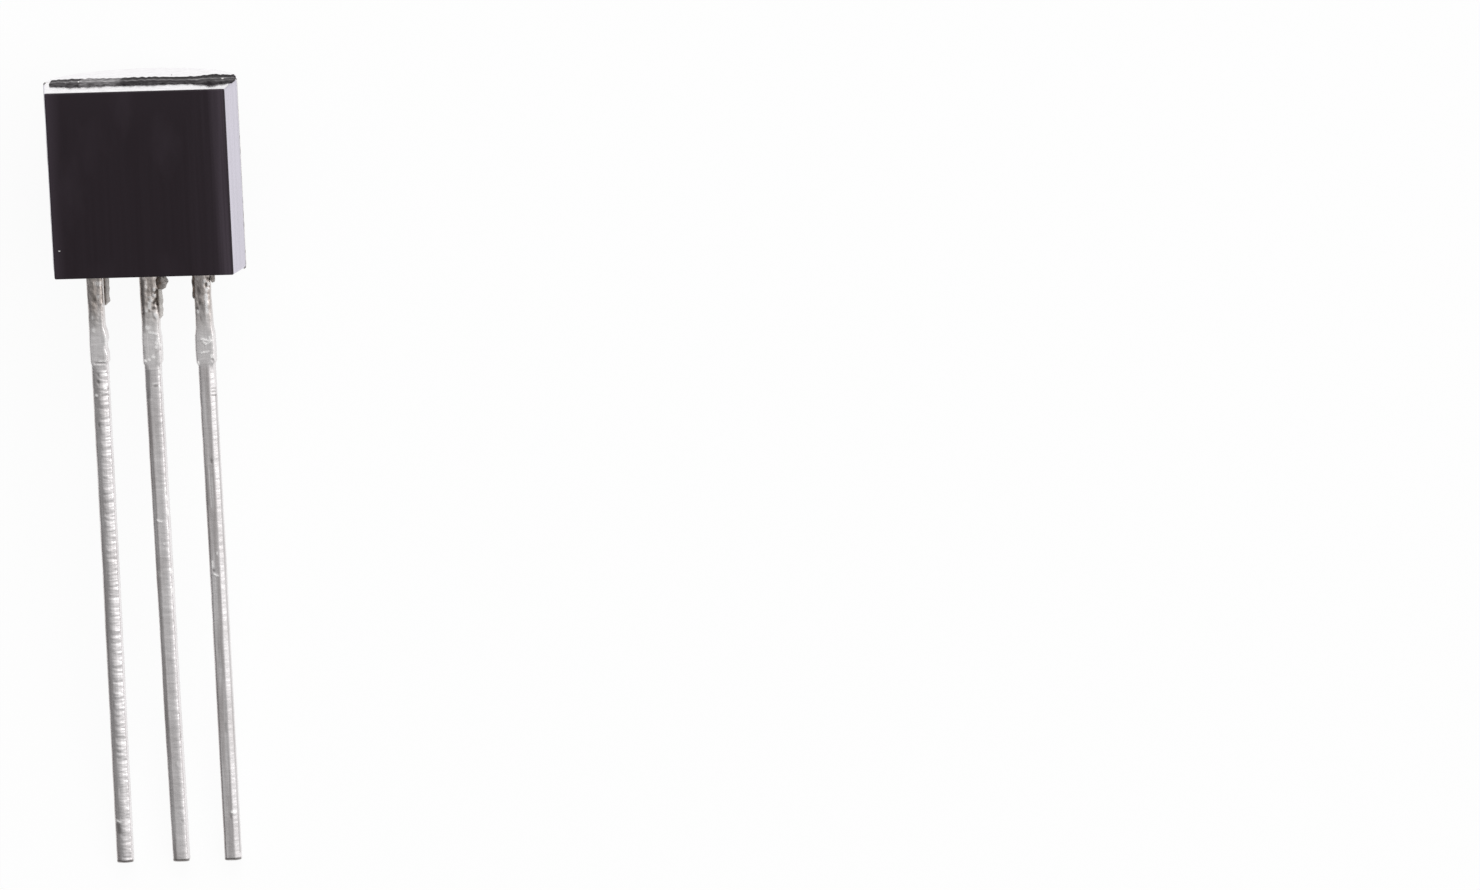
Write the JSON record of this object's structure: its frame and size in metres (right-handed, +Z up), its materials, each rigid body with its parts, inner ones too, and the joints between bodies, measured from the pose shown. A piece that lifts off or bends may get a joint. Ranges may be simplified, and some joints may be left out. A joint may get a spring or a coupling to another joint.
{
  "type": "to-92 transistor",
  "caption": "Small through-hole transistor: drafted black resin body with a flat face and a half-round back, and straight tinned leads in a row, lying on its back.",
  "frame": {"origin": "on the table, under the middle of the whole part's box", "axes": "+Z up, away from the table; +Y along the leads towards the body's closed end; +X to the right seen on the flat face with the leads towards the viewer. The plane of the leads climbs 8 degrees from the lead tips to the body, because the part lies on its round back and its lead tips."},
  "size_m": [0.0044, 0.0186, 0.0039],
  "materials": {
    "moulding_compound": "satin",
    "tinned_lead": "satin",
    "silicon": "gloss",
    "silver_adhesive": "matte",
    "gold_wire": "gloss"
  },
  "bodies": {
    "root": {"moulded_body": "moulding_compound", "collector_lead": "tinned_lead", "base_lead": "tinned_lead", "emitter_lead": "tinned_lead", "transistor_die": "silicon", "die_attach": "silver_adhesive", "base_bond_wire": "gold_wire", "emitter_bond_wire": "gold_wire"}
  },
  "joints": []
}
